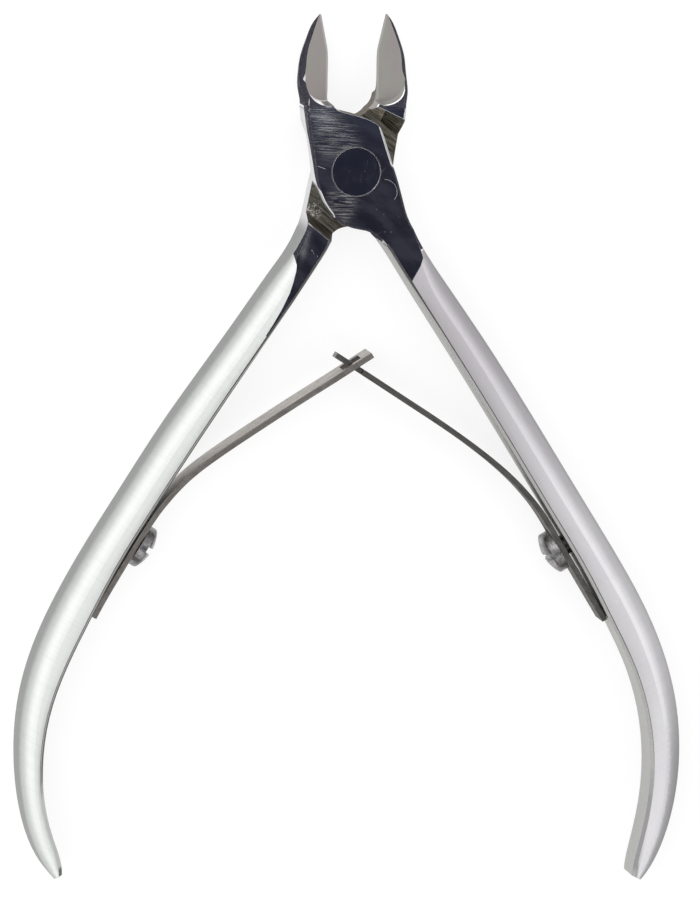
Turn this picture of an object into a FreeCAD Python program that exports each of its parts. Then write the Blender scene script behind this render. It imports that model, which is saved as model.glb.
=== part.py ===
import FreeCAD, Part
import Sketcher
import math
import os

# Cuticle nipper: two crossed levers on one pivot pin, held open by two leaf springs that interlock
# between the handles. Millimetres. The tool lies on its back: +Y points to the jaws, +X to the right
# handle, +Z out of the front face. The origin is on the pivot axis, in the back face of the joint.

os.makedirs("parts", exist_ok=True)
doc = FreeCAD.newDocument("cuticle_nipper")
V = FreeCAD.Vector
sheet = doc.addObject("Spreadsheet::Sheet", "Sizes")
sheet.Label = "Sizes"
values = {}
row = [1]


def put(alias, value, note=""):
    """One driving dimension: its value, its alias and what it is."""
    n = row[0]
    sheet.set("A%d" % n, note or alias)
    sheet.set("B%d" % n, "%.6g" % value)
    sheet.setAlias("B%d" % n, alias)
    values[alias] = float("%.6g" % value)
    row[0] += 1


# ---- joint and pivot
put("joint_thick", 7.0, "thickness of the joint, back face to front face")
put("lap_gap", 0.06, "running gap between the two laps")
put("pin_radius", 2.0, "journal radius of the pivot pin")
put("pin_play", 0.04, "radial clearance of the front lever on the pin")
put("pin_head_radius", 2.93, "radius of the pin's flush head")
put("pin_head_depth", 1.5, "depth of the pin's head in the front face")
put("pin_foot_radius", 2.6, "radius of the riveted foot at the back")
put("pin_foot_depth", 1.1, "depth of the riveted foot")
put("head_play", 0.06, "radial clearance round the pin's head")
# ---- jaws
put("edge_height", 3.1, "height of the cutting edge at the foot of the jaw")
put("facet_slope", 26.565, "slope of the ground facet, degrees")
put("bevel_slope", 58.0, "slope of the back bevel, degrees")
put("edge_offset", 3.04, "distance of the facet's datum from the middle")
put("scoop_radius", 2.62, "radius at the foot of the ground facet, at the joint's front face")
put("scoop_flare", 0.18, "how much the wall round the facet's foot leans out")
put("edge_jaw", 0.25, "broken edge on the jaw side of the joint, front")
put("edge_jaw_under", 0.9, "rounded edge on the jaw side of the joint, back")
put("edge_hand_front", 0.28, "broken edge on the handle side of the front lever's joint")
put("edge_hand_back", 0.7, "rounded edge on the handle side of the back lever's joint")
# ---- handles
put("flat_cut", 7.0, "height of the polished flat that runs from the joint into the handle")
put("flat_cut_back", -0.004, "height of the flat on the back")
# ---- springs
put("leaf_width", 4.6, "width of each leaf, along Z")
put("leaf_thick", 0.68, "thickness of each leaf")
put("leaf_middle", 3.5, "height of the leaf's middle line")
put("slot_height", 2.7, "height of the slot in the left leaf")
put("slot_length", 2.6, "length of the slot along the left leaf")
put("tongue_height", 2.1, "height of the tongue on the right leaf")
put("leaf_hole", 1.35, "radius of the screw hole in a leaf")
# ---- spring screws
put("screw_head_radius", 2.62, "radius of the screw's head")
put("screw_rim", 1.15, "height of the head's rim")
put("screw_dome", 0.75, "height of the dome above the rim")
put("screw_soft", 0.42, "rounding of the head's rim")
put("screw_shank", 1.25, "shank radius")
put("screw_length", 3.6, "shank length under the head")
put("screw_slot_width", 0.8, "width of the driver slot")
put("screw_slot_depth", 0.95, "depth of the driver slot")
put("tap_play", 0.0, "radial gap between shank and tapped hole")
put("head_seat", 0.06, "gap between a leaf and the underside of its screw's head")

# Handle sections: a flat inner wall and a domed outside. Each line is one section:
# inner edge x, y, direction of the outward normal in degrees, width, half height at the crown,
# half height at the inner arris, corner radius.
LEFT = [
    (-2.796, -8.34, 157.89, 3.48, 3.55, 3.53, 0.55),
    (-3.768, -10.095, 151.8, 3.40, 3.62, 3.56, 0.95),
    (-4.843, -11.777, 148.05, 3.35, 3.68, 3.57, 1.35),
    (-6.469, -14.299, 144.8, 3.54, 3.74, 3.57, 1.85),
    (-9.808, -19.265, 145.6, 3.70, 3.75, 3.52, 2.15),
    (-14.296, -25.889, 145.06, 3.90, 3.75, 3.40, 2.25),
    (-19.283, -33.388, 146.42, 4.16, 3.75, 3.36, 2.35),
    (-24.174, -40.956, 147.92, 4.12, 3.75, 3.36, 2.35),
    (-28.349, -47.783, 149.4, 4.20, 3.75, 3.36, 2.4),
    (-31.6, -53.98, 153.18, 4.38, 3.73, 3.36, 2.4),
    (-34.2, -59.387, 158.52, 4.17, 3.70, 3.34, 2.3),
    (-36.233, -65.017, 168.06, 3.58, 3.65, 3.32, 2.1),
    (-37.137, -70.925, 179.94, 2.99, 3.58, 3.30, 1.85),
    (-36.856, -76.418, 190.05, 2.68, 3.50, 3.25, 1.65),
    (-35.882, -80.284, 199.26, 2.56, 3.42, 3.18, 1.5),
    (-34.99, -82.935, 204.0, 2.12, 3.34, 3.10, 1.2),
    (-34.72, -84.925, 204.0, 1.05, 3.22, 3.00, 0.5),
]
RIGHT = [
    (3.673, -8.98, 32.46, 3.98, 3.55, 3.53, 0.21),
    (4.821, -10.611, 31.76, 3.70, 3.60, 3.56, 0.55),
    (5.888, -12.301, 32.37, 3.70, 3.68, 3.57, 1.15),
    (7.47, -14.84, 33.49, 3.86, 3.75, 3.48, 1.90),
    (10.723, -19.883, 33.95, 4.11, 3.75, 3.40, 2.20),
    (15.038, -26.621, 32.71, 4.30, 3.75, 3.36, 2.30),
    (19.811, -34.268, 31.86, 4.38, 3.75, 3.36, 2.40),
    (24.525, -41.925, 31.71, 4.42, 3.75, 3.36, 2.40),
    (28.699, -48.75, 31.12, 4.49, 3.75, 3.36, 2.45),
    (31.963, -54.938, 26.67, 4.72, 3.73, 3.36, 2.45),
    (34.59, -60.338, 20.95, 4.46, 3.70, 3.34, 2.4),
    (36.407, -66.044, 11.01, 4.10, 3.65, 3.32, 2.2),
    (37.127, -71.985, -0.44, 3.72, 3.58, 3.30, 1.95),
    (36.803, -77.467, -9.7, 3.34, 3.50, 3.25, 1.75),
    (36.03, -81.414, -18.5, 2.90, 3.42, 3.18, 1.55),
    (35.40, -84.02, -24.0, 2.25, 3.34, 3.10, 1.2),
    (35.10, -86.05, -24.0, 1.15, 3.22, 3.00, 0.5),
]
for tag, table in (("hl", LEFT), ("hr", RIGHT)):
    for i, (x, y, a, w, zc, za, rr) in enumerate(table):
        put("%s%d_x" % (tag, i), x, "handle section, inner edge x")
        put("%s%d_y" % (tag, i), y, "handle section, inner edge y")
        put("%s%d_turn" % (tag, i), a, "handle section, direction of the outward normal")
        put("%s%d_width" % (tag, i), w, "handle section, width")
        put("%s%d_crown" % (tag, i), zc, "handle section, half height at the crown")
        put("%s%d_arris" % (tag, i), za, "handle section, half height at the inner arris")
        put("%s%d_corner" % (tag, i), rr, "handle section, corner radius")
put("handle_chamfer", 0.42, "chamfer along the inner arris of a handle")

# Jaw sections at heights along Y: outer x, inner x of the right jaw, inner x of the left jaw (whose
# throat is squarer), front height, back height, outer roundness (front), outer roundness (back).
# Above the throat the inner wall keeps 0.05 of stock, which the cutting edge is ground out of.
JAW = [
    (7.20, 5.97, 1.95, 1.80, 7.00, 0.00, 0.19, 0.74),
    (7.75, 6.00, 2.52, 2.70, 7.00, 0.05, 0.27, 0.95),
    (8.35, 6.09, 2.80, 2.98, 6.96, 0.13, 0.50, 1.15),
    (9.20, 6.32, 2.93, 2.99, 6.72, 0.28, 1.00, 1.40),
    (10.20, 6.50, 2.96, 2.98, 6.06, 0.46, 1.65, 1.60),
    (11.70, 6.50, 2.97, 2.97, 5.20, 0.72, 2.08, 1.75),
    (13.60, 6.28, 2.97, 2.97, 5.04, 1.05, 1.93, 1.70),
    (15.75, 5.62, 3.25, 3.25, 4.60, 1.60, 1.45, 1.40),
    (17.30, 5.02, 3.57, 3.57, 4.12, 2.15, 1.00, 0.90),
    (18.04, 4.58, 3.74, 3.74, 3.86, 2.62, 0.50, 0.62),
    (18.64, 4.10, 3.89, 3.89, 3.70, 3.20, 0.06, 0.08),
]
for i, (y, xo, xi, xl, zf, zb, rf, rb) in enumerate(JAW):
    put("jaw%d_y" % i, y, "jaw section, distance from the pivot")
    put("jaw%d_outer" % i, xo, "jaw section, outer x")
    put("jaw%d_inner" % i, xi, "jaw section, inner x, right jaw")
    put("jaw%d_throat" % i, xl, "jaw section, inner x, left jaw")
    put("jaw%d_front" % i, zf, "jaw section, height of the front")
    put("jaw%d_back" % i, zb, "jaw section, height of the back")
    put("jaw%d_round" % i, rf, "jaw section, outer corner at the front")
    put("jaw%d_roundb" % i, rb, "jaw section, outer corner at the back")
doc.recompute()


def bind(obj, prop, expression):
    obj.setExpression(prop, expression)


def new_body(name):
    b = doc.addObject("PartDesign::Body", name)
    b.Label = name
    return b


def plane(body, role):
    for o in body.Origin.OriginFeatures:
        if o.Role == role:
            return o
    raise RuntimeError("no plane " + role)


def sketch(body, name, role="XY_Plane", offset=None):
    s = body.newObject("Sketcher::SketchObject", name)
    s.AttachmentSupport = [(plane(body, role), "")]
    s.MapMode = "FlatFace"
    if offset is not None:
        s.AttachmentOffset = offset
    return s


def poly(s, pts, closed=True):
    n = len(pts)
    first = s.GeometryCount
    last = n if closed else n - 1
    for i in range(last):
        a, b = pts[i], pts[(i + 1) % n]
        s.addGeometry(Part.LineSegment(V(a[0], a[1], 0), V(b[0], b[1], 0)), False)
    for i in range(last - (0 if closed else 1)):
        s.addConstraint(Sketcher.Constraint("Coincident", first + i, 2, first + (i + 1) % last, 1))
    return first


def spline(s, pts):
    c = Part.BSplineCurve()
    c.interpolate([V(p[0], p[1], 0) for p in pts])
    s.addGeometry(c, False)


def dim(s, kind, args, expression, name):
    i = s.addConstraint(Sketcher.Constraint(kind, *args))
    s.renameConstraint(i, name)
    bind(s, "Constraints." + name, expression)
    return i


def d_section(body, name, tag, i):
    """One handle section, standing on the plan curve, its own X along the outward normal and Y up."""
    g = lambda k: values["%s%d_%s" % (tag, i, k)]
    s = sketch(body, name)
    s.AttachmentOffset = FreeCAD.Placement(
        V(g("x"), g("y"), values["joint_thick"] / 2),
        FreeCAD.Rotation(V(0, 0, 1), g("turn")) * FreeCAD.Rotation(V(1, 0, 0), 90),
    )
    bind(s, ".AttachmentOffset.Base.x", "Sizes.%s%d_x" % (tag, i))
    bind(s, ".AttachmentOffset.Base.y", "Sizes.%s%d_y" % (tag, i))
    bind(s, ".AttachmentOffset.Base.z", "Sizes.joint_thick / 2")
    w, zc, za, r, c = g("width"), g("crown"), g("arris"), g("corner"), values["handle_chamfer"]
    za = min(za, zc - 0.02)
    p0, p1, p2 = (0, -(za - c)), (0, za - c), (c, za)
    p3, p4 = (w - r, zc), (w, zc - r)
    p5, p6, p7 = (w, -(zc - r)), (w - r, -zc), (c, -za)
    big = ((w - r - c) ** 2 + (zc - za) ** 2) / (2 * (zc - za))
    top = Part.Arc(
        V(p3[0], p3[1], 0),
        V(w - r - big * math.sin(math.asin((w - r - c) / big) / 2), zc - big + big * math.cos(math.asin((w - r - c) / big) / 2), 0),
        V(p2[0], p2[1], 0),
    )
    k = math.sqrt(0.5)
    corner_a = Part.Arc(V(p4[0], p4[1], 0), V(w - r + r * k, zc - r + r * k, 0), V(p3[0], p3[1], 0))
    corner_b = Part.Arc(V(p6[0], p6[1], 0), V(w - r + r * k, -(zc - r + r * k), 0), V(p5[0], p5[1], 0))
    bot = Part.Arc(
        V(p7[0], p7[1], 0),
        V(w - r - big * math.sin(math.asin((w - r - c) / big) / 2), -(zc - big + big * math.cos(math.asin((w - r - c) / big) / 2)), 0),
        V(p6[0], p6[1], 0),
    )
    ln = lambda a, b: Part.LineSegment(V(a[0], a[1], 0), V(b[0], b[1], 0))
    s.addGeometry([ln(p0, p1), ln(p1, p2), top, corner_a, ln(p4, p5), corner_b, bot, ln(p7, p0)], False)
    C = Sketcher.Constraint
    # an arc drawn counter-clockwise starts at its right end: top and corner_a run from p3/p4 leftwards
    s.addConstraint([
        C("Coincident", 0, 2, 1, 1), C("Coincident", 1, 2, 2, 2), C("Coincident", 2, 1, 3, 2),
        C("Coincident", 3, 1, 4, 1), C("Coincident", 4, 2, 5, 2), C("Coincident", 5, 1, 6, 2),
        C("Coincident", 6, 1, 7, 1), C("Coincident", 7, 2, 0, 1),
        C("PointOnObject", 0, 1, -2), C("Vertical", 2, 3, 2, 1), C("Vertical", 6, 3, 6, 2),
        C("Vertical", 3, 3, 3, 2), C("Horizontal", 3, 3, 3, 1),
        C("Vertical", 5, 3, 5, 1),
        C("Symmetric", 0, 1, 0, 2, -1), C("Symmetric", 1, 2, 7, 1, -1),
        C("Symmetric", 2, 1, 6, 2, -1), C("Symmetric", 4, 1, 4, 2, -1),
    ])
    p = "Sizes.%s%d_" % (tag, i)
    dim(s, "DistanceX", (-1, 1, 4, 1, w), p + "width", "width")
    dim(s, "DistanceY", (-1, 1, 2, 1, zc), p + "crown", "crown")
    dim(s, "DistanceX", (-1, 1, 2, 1, w - r), "%swidth - %scorner" % (p, p), "corner_x")
    dim(s, "DistanceX", (-1, 1, 1, 2, c), "Sizes.handle_chamfer", "chamfer")
    dim(s, "DistanceY", (-1, 1, 1, 2, za), "min(%sarris; %scrown - 0.02)" % (p, p), "arris")
    dim(s, "DistanceY", (-1, 1, 0, 2, za - c), "min(%sarris; %scrown - 0.02) - Sizes.handle_chamfer" % (p, p), "wall")
    return s


def jaw_section(body, name, i, sx):
    """One jaw section across the jaw: flat inner wall, front and back faces, rounded outer corners."""
    g = lambda k: values["jaw%d_%s" % (i, k)]
    s = sketch(body, name, "XZ_Plane", FreeCAD.Placement(V(0, 0, -g("y")), FreeCAD.Rotation()))
    bind(s, ".AttachmentOffset.Base.z", "-Sizes.jaw%d_y" % i)
    xo, xi, zf, zb, rf, rb = (g(k) for k in ("outer", "inner" if sx > 0 else "throat", "front", "back", "round", "roundb"))
    pts = [
        (xi, zb), (xi, zf), (xo - rf, zf), (xo - 0.293 * rf, zf - 0.293 * rf), (xo, zf - rf),
        (xo, zb + rb), (xo - 0.293 * rb, zb + 0.293 * rb), (xo - rb, zb),
    ]
    P = [V(sx * a, b, 0) for a, b in pts]
    ln = lambda a, b: Part.LineSegment(P[a], P[b])
    if sx > 0:
        arcs = (Part.Arc(P[2], P[3], P[4]), Part.Arc(P[5], P[6], P[7]))
    else:
        arcs = (Part.Arc(P[2], P[3], P[4]), Part.Arc(P[5], P[6], P[7]))
    s.addGeometry([ln(0, 1), ln(1, 2), arcs[0], ln(4, 5), arcs[1], ln(7, 0)], False)
    return s


def loft(body, name, kind, sketches, ruled=False):
    f = body.newObject("PartDesign::" + kind, name)
    f.Profile = sketches[0]
    f.Sections = sketches[1:]
    f.Ruled = ruled
    f.Closed = False
    f.Refine = True
    return f


# Plan of the joint block, in the open pose, drawn for the front lever (jaw left, handle right).
def joint_plan(s, sx, inner, outer):
    """inner and outer: the two corners of the first handle section, which closes the block."""
    m = lambda pts: [(sx * x, y) for x, y in pts]
    crotch = [(1.5, -7.2), (2.4, -7.7), (3.1, -8.32)] if sx > 0 else [(1.3, -7.16), (2.1, -7.65)]
    jaw_outer = m([(-5.97, 7.2), (-5.87, 6.05), (-5.72, 4.85), (-5.56, 3.87), (-5.40, 2.9), (-5.25, 1.93),
                   (-5.12, 0.96), (-4.97, -0.3), (-4.71, -1.59), (-4.33, -2.7), (-3.82, -3.8), (-3.05, -4.95),
                   (-2.0, -5.95), (-0.9, -6.6), (0.3, -6.95)] + crotch)
    jaw_outer.append(inner)
    if sx > 0:
        top = m([(-1.80, 7.2), (-1.15, 7.03), (-0.4, 6.85), (0.4, 6.62), (1.3, 6.32), (2.0, 6.0), (2.55, 5.64), (2.9, 5.26), (3.15, 4.85)])
        right = m([(3.15, 4.85), (3.75, 3.0), (4.42, 0.95), (5.05, -0.95), (5.60, -2.9), (6.13, -4.85)])
    else:
        top = m([(-1.95, 7.2), (-1.52, 6.72), (-0.95, 6.38), (-0.2, 6.2), (0.7, 6.08), (1.4, 5.93), (2.1, 5.68), (2.7, 5.32), (3.15, 4.85)])
        right = m([(3.15, 4.85), (3.64, 3.0), (4.18, 0.95), (4.66, -0.95), (5.06, -2.9), (5.45, -4.85)])
    right.append(outer)
    spline(s, jaw_outer)
    s.addGeometry(Part.LineSegment(V(inner[0], inner[1], 0), V(outer[0], outer[1], 0)), False)
    spline(s, list(reversed(right)))
    spline(s, list(reversed(top)))
    a, b = top[0], jaw_outer[0]
    s.addGeometry(Part.LineSegment(V(a[0], a[1], 0), V(b[0], b[1], 0)), False)


def recess(body, name, sx, low, high, floor, reach):
    """Half-thickness recess that takes the other lever's lap: a floor at the middle of the joint, and a
    sloping shoulder up to the full thickness. low/high are matching outlines at the floor and outside."""
    rings = []
    for k, (pts, z) in enumerate(((low, floor), (high, reach))):
        s = sketch(body, "%s_ring_%d" % (name, k))
        s.AttachmentOffset = FreeCAD.Placement(V(0, 0, z), FreeCAD.Rotation())
        poly(s, [(sx * x, y) for x, y in pts])
        rings.append(s)
    return loft(body, name, "SubtractiveLoft", rings, ruled=True)


def pocket(body, name, sk, length, expression=None, up=False):
    """Cuts from the sketch plane, along its normal when up is set, else against it."""
    before = body.Shape.Volume
    f = body.newObject("PartDesign::Pocket", name)
    f.Profile = sk
    f.Length = length
    if expression:
        bind(f, "Length", expression)
    f.Reversed = up
    f.Refine = True
    doc.recompute()
    after = body.Shape.Volume
    if not after < before - 1e-4:
        raise RuntimeError("%s cuts nothing: %.4f -> %.4f" % (name, before, after))
    return f


def flat_outline(side):
    """Plan of the polished flat that runs from the joint into a handle, for the left (-1) or right (+1)."""
    if side < 0:
        edge = [(-6.38, -5.6), (-7.0, -7.6), (-7.61, -9.59), (-7.32, -10.2), (-7.08, -10.9), (-7.17, -11.86),
                (-7.5, -13.2), (-7.95, -14.6), (-8.85, -16.5), (-9.75, -18.1), (-10.75, -19.7)]
        return [(-13.5, -5.0)] + edge[:1] + edge[1:] + [(-9.9, -20.4), (-2.0, -12.0), (8.5, -12.0), (10.0, 8.0), (-10.0, 8.0)]
    edge = [(6.62, -5.6), (7.30, -7.82), (8.28, -10.36), (8.15, -10.9), (7.99, -11.35), (7.50, -12.21), (7.10, -12.95), (6.75, -13.6)]
    return [(13.5, -5.0)] + edge + [(5.6, -13.9), (2.0, -12.0), (-8.5, -12.0), (-10.0, 8.0), (10.0, 8.0)]


# Outlines of the recess, drawn for the lever whose jaw is on the right: on the floor, and where the
# sloping shoulders reach the full thickness.
LOW = [(7.6, 3.22), (4.66, 4.66), (3.79, 5.43), (2.89, 6.20), (1.90, 7.01), (1.34, 7.55), (0.42, 8.45),
       (-8.5, 9.5), (-9.33, -1.9), (-0.07, -9.52), (1.5, -11.5), (9.5, -8.0)]
HIGH = [(8.07, 5.15), (5.91, 6.20), (4.65, 6.81), (3.57, 7.34), (2.58, 7.82), (1.77, 8.22), (0.69, 8.95),
        (-8.5, 9.5), (-9.96, -2.67), (-0.70, -10.29), (1.2, -12.0), (9.5, -8.0)]


def lever(name, tag, table, sx, hole_at, hole_turn):
    """sx = +1: the front lever, jaw on the left and handle on the right, its lap in the front half.
    sx = -1: the back lever, the other way round."""
    body = new_body(name)
    T = values["joint_thick"]
    mid = T / 2
    # joint block between the jaw's foot and the first handle section
    s = sketch(body, name + "_joint_plan")
    x, y, a, w = table[0][:4]
    inner = (x, y)
    outer = (x + w * math.cos(math.radians(a)), y + w * math.sin(math.radians(a)))
    joint_plan(s, sx, inner, outer)
    pad = body.newObject("PartDesign::Pad", name + "_joint")
    pad.Profile = s
    pad.Length = T
    bind(pad, "Length", "Sizes.joint_thick")
    doc.recompute()
    # broken edges round the block: (start of the edge in plan, height, size in the sheet)
    jaw_side, hand_side = (sx * -5.97, 7.2), (sx * 3.15, 4.85)
    hand_size = "edge_hand_front" if sx > 0 else "edge_hand_back"
    for k, (corner, z, alias) in enumerate((
            (jaw_side, T, "edge_jaw"), (jaw_side, 0.0, "edge_jaw_under"), (hand_side, T, hand_size), (hand_side, 0.0, hand_size))):
        names = [
            "Edge%d" % (i + 1) for i, e in enumerate(body.Shape.Edges)
            if all(abs(q.Point.z - z) < 1e-4 for q in e.Vertexes) and e.Length > 5
            and any(abs(q.Point.x - corner[0]) < 0.02 and abs(q.Point.y - corner[1]) < 0.02 for q in e.Vertexes)
            and "BSpline" in type(e.Curve).__name__
        ]
        names = [q for q in names if body.Shape.Edges[int(q[4:]) - 1].Length > 9]
        if len(names) != 1:
            raise RuntimeError("%s: edge %d of the block is not found once: %s" % (name, k, names))
        before = body.Shape.Volume
        base = body.Tip
        f = body.newObject("PartDesign::Fillet", "%s_break_%d" % (name, k))
        f.Base = (base, names)
        f.Radius = values[alias]
        bind(f, "Radius", "Sizes." + alias)
        doc.recompute()
        if not f.isValid() or not body.Shape.Volume < before:
            raise RuntimeError("%s: edge %d of the block is not broken" % (name, k))
    # handle
    secs =[d_section(body, "%s_section_%d" % (name, i), tag, i) for i in range(len(table))]
    doc.recompute()
    loft(body, name + "_handle", "AdditiveLoft", secs)
    doc.recompute()
    # jaw
    secs = [jaw_section(body, "%s_jaw_%d" % (name, i), i, -sx) for i in range(len(JAW))]
    doc.recompute()
    loft(body, name + "_jaw", "AdditiveLoft", secs)
    doc.recompute()
    blank = body.Shape.Volume
    # recess for the other lever's lap, from the back on the front lever and from the front on the back one
    half = values["lap_gap"] / 2
    floor, reach = (mid + half, -0.3) if sx > 0 else (mid - half, T + 0.3)
    grow = (reach - floor) / ((0.0 if sx > 0 else T) - floor)
    high = [(l[0] + (h[0] - l[0]) * grow, l[1] + (h[1] - l[1]) * grow) for l, h in zip(LOW, HIGH)]
    f = recess(body, name + "_recess", -sx, LOW, high, floor, reach)
    bind(doc.getObject(name + "_recess_ring_0"), ".AttachmentOffset.Base.z",
         "Sizes.joint_thick / 2 %s Sizes.lap_gap / 2" % ("+" if sx > 0 else "-"))
    doc.recompute()
    if not body.Shape.Volume < blank - 50:
        raise RuntimeError(name + " recess cuts nothing")
    # polished flats on the front and the back
    for k, (z, up) in enumerate(((T, True), (values["flat_cut_back"], False))):
        s = sketch(body, "%s_flat_plan_%d" % (name, k))
        s.AttachmentOffset = FreeCAD.Placement(V(0, 0, z), FreeCAD.Rotation())
        bind(s, ".AttachmentOffset.Base.z", "Sizes.flat_cut" if up else "Sizes.flat_cut_back")
        poly(s, flat_outline(sx))
        pocket(body, "%s_flat_%d" % (name, k), s, 1.0, up=up)
    side = -sx
    # the line of the cutting edge, straight and on a radius through the pivot
    s = sketch(body, name + "_edge_plan")
    t = math.tan(math.radians(11.85))
    poly(s, [(side * 14.3 * t, 14.3), (side * 19.9 * t, 19.9), (side * 1.0, 19.9), (side * 1.0, 14.3)])
    pocket(body, name + "_edge", s, 8.0, up=True)
    # ground facet on the front of the jaw
    al = values["facet_slope"]
    ca, sa = math.cos(math.radians(al)), math.sin(math.radians(al))
    cx, cy = (3.55, 10.62) if side > 0 else (3.48, 10.56)
    rings = []
    # the facet's outline on its own plane, and the same one wider on a parallel plane above the jaw
    for k, (lift, r) in enumerate(((0.0, values["scoop_radius"] - values["scoop_flare"]), (5.0, values["scoop_radius"] + 0.8 * values["scoop_flare"]))):
        s = sketch(body, "%s_facet_plan_%d" % (name, k))
        s.AttachmentOffset = FreeCAD.Placement(
            V(side * (values["edge_offset"] - lift * sa), 0, values["edge_height"] + lift * ca), FreeCAD.Rotation(V(0, 1, 0), -al * side))
        bind(s, ".AttachmentOffset.Base.z", "Sizes.edge_height + %g" % (lift * ca))
        local = lambda x, y: V(side * (x - values["edge_offset"] + lift * sa) / ca, y, 0)
        k2 = math.sqrt(0.5)
        P = [local(0.4, 20.8), local(cx - r, cy), local(cx - r * k2, cy - r * k2), local(cx, cy - r),
             local(cx + r * k2, cy - r * k2), local(cx + r, cy), local(7.6, cy + 2.1), local(7.6, 20.8)]
        L = lambda a, b: Part.LineSegment(P[a], P[b])
        n = 9
        arc = [local(cx - r * math.cos(math.pi * j / n), cy - r * math.sin(math.pi * j / n)) for j in range(n + 1)]
        c = Part.BSplineCurve()
        c.interpolate(arc)
        s.addGeometry([L(0, 1), c, L(5, 6), L(6, 7), L(7, 0)], False)
        rings.append(s)
    before = body.Shape.Volume
    loft(body, name + "_facet", "SubtractiveLoft", rings, ruled=True)
    doc.recompute()
    if not body.Shape.Volume < before - 2:
        raise RuntimeError(name + " facet cuts nothing")
    # bevel on the back of the jaw, up to the cutting edge
    tb = math.tan(math.radians(values["bevel_slope"]))
    rings = []
    stations = [(8.7, 2.45, 0.12), (9.6, 2.80, 0.6), (10.6, 2.93, 1.0), (12.6, 2.98, 1.0), (14.4, 3.03, 1.0), (14.9, 14.9 * math.tan(math.radians(11.85)), 1.0), (19.6, 19.6 * math.tan(math.radians(11.85)), 1.0)]
    for k, (yy, xi, full) in enumerate(stations):
        ze = values["edge_height"] + math.tan(math.radians(al)) * (xi - values["edge_offset"]) - 0.05
        q = sketch(body, "%s_bevel_%d" % (name, k), "XZ_Plane", FreeCAD.Placement(V(0, 0, -yy), FreeCAD.Rotation()))
        low = -0.6
        ws = (ze - low) / tb * full
        poly(q, [(side * (xi - 0.9), ze), (side * (xi + 0.005), ze), (side * (xi + 0.005 + ws), low), (side * (xi - 0.9), low)])
        rings.append(q)
    before = body.Shape.Volume
    loft(body, name + "_bevel", "SubtractiveLoft", rings, ruled=True)
    doc.recompute()
    if not body.Shape.Volume < before - 0.5:
        raise RuntimeError(name + " bevel cuts nothing")
    # bore for the pivot pin
    s = sketch(body, name + "_bore_plan")
    s.addGeometry(Part.Circle(V(0, 0, 0), V(0, 0, 1), values["pin_radius"]), False)
    s.addConstraint(Sketcher.Constraint("Coincident", 0, 3, -1, 1))
    dim(s, "Radius", (0, values["pin_radius"]), "Sizes.pin_radius" + (" + Sizes.pin_play" if sx > 0 else ""), "bore")
    pocket(body, name + "_bore", s, 8.0, up=True)
    s = sketch(body, name + "_seat_plan")
    if sx > 0:
        s.AttachmentOffset = FreeCAD.Placement(V(0, 0, T), FreeCAD.Rotation())
        bind(s, ".AttachmentOffset.Base.z", "Sizes.joint_thick")
    s.addGeometry(Part.Circle(V(0, 0, 0), V(0, 0, 1), values["pin_head_radius"]), False)
    s.addConstraint(Sketcher.Constraint("Coincident", 0, 3, -1, 1))
    if sx > 0:
        dim(s, "Radius", (0, values["pin_head_radius"]), "Sizes.pin_head_radius + Sizes.head_play", "seat")
        pocket(body, name + "_seat", s, 1.5, "Sizes.pin_head_depth + 0.05", up=False)
    else:
        dim(s, "Radius", (0, values["pin_foot_radius"]), "Sizes.pin_foot_radius", "seat")
        pocket(body, name + "_seat", s, 1.1, "Sizes.pin_foot_depth", up=True)
    # tapped hole for the spring's screw, in the inner wall of the handle
    s = sketch(body, name + "_tap_plan")
    s.AttachmentOffset = FreeCAD.Placement(
        V(hole_at[0], hole_at[1], values["leaf_middle"]),
        FreeCAD.Rotation(V(0, 0, 1), hole_turn) * FreeCAD.Rotation(V(0, 1, 0), 90))
    s.addGeometry(Part.Circle(V(0, 0, 0), V(0, 0, 1), values["screw_shank"]), False)
    s.addConstraint(Sketcher.Constraint("Coincident", 0, 3, -1, 1))
    dim(s, "Radius", (0, values["screw_shank"]), "Sizes.screw_shank + Sizes.tap_play", "tap")
    pocket(body, name + "_tap", s, 3.3, "Sizes.screw_length - Sizes.leaf_thick / 2", up=True)
    return body


SCREW_L, TURN_L = (-25.9, -44.9), 148.4
SCREW_R, TURN_R = (26.15, -46.1), 31.4
front = lever("front_lever", "hr", RIGHT, 1, SCREW_R, TURN_R)
back = lever("back_lever", "hl", LEFT, -1, SCREW_L, TURN_L)

# ---- pivot pin: flush head in the front lever, journal, and a foot riveted into the back lever
pin = new_body("pivot_pin")
s = sketch(pin, "pin_profile", "XZ_Plane")
v = values
pts = [(0, 0), (v["pin_foot_radius"], 0), (v["pin_foot_radius"], v["pin_foot_depth"]), (v["pin_radius"], v["pin_foot_depth"]),
       (v["pin_radius"], v["joint_thick"] - v["pin_head_depth"]), (v["pin_head_radius"], v["joint_thick"] - v["pin_head_depth"]),
       (v["pin_head_radius"], v["joint_thick"]), (0, v["joint_thick"])]
poly(s, pts)
C = Sketcher.Constraint
s.addConstraint([C("Horizontal", 0), C("Vertical", 1), C("Horizontal", 2), C("Vertical", 3), C("Horizontal", 4), C("Vertical", 5),
                 C("Horizontal", 6), C("Coincident", 0, 1, -1, 1), C("PointOnObject", 6, 2, -2)])
dim(s, "DistanceX", (-1, 1, 0, 2, v["pin_foot_radius"]), "Sizes.pin_foot_radius", "foot_r")
dim(s, "DistanceY", (-1, 1, 1, 2, v["pin_foot_depth"]), "Sizes.pin_foot_depth", "foot_h")
dim(s, "DistanceX", (-1, 1, 2, 2, v["pin_radius"]), "Sizes.pin_radius", "journal_r")
dim(s, "DistanceY", (-1, 1, 3, 2, v["joint_thick"] - v["pin_head_depth"]), "Sizes.joint_thick - Sizes.pin_head_depth", "head_z")
dim(s, "DistanceX", (-1, 1, 4, 2, v["pin_head_radius"]), "Sizes.pin_head_radius", "head_r")
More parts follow.
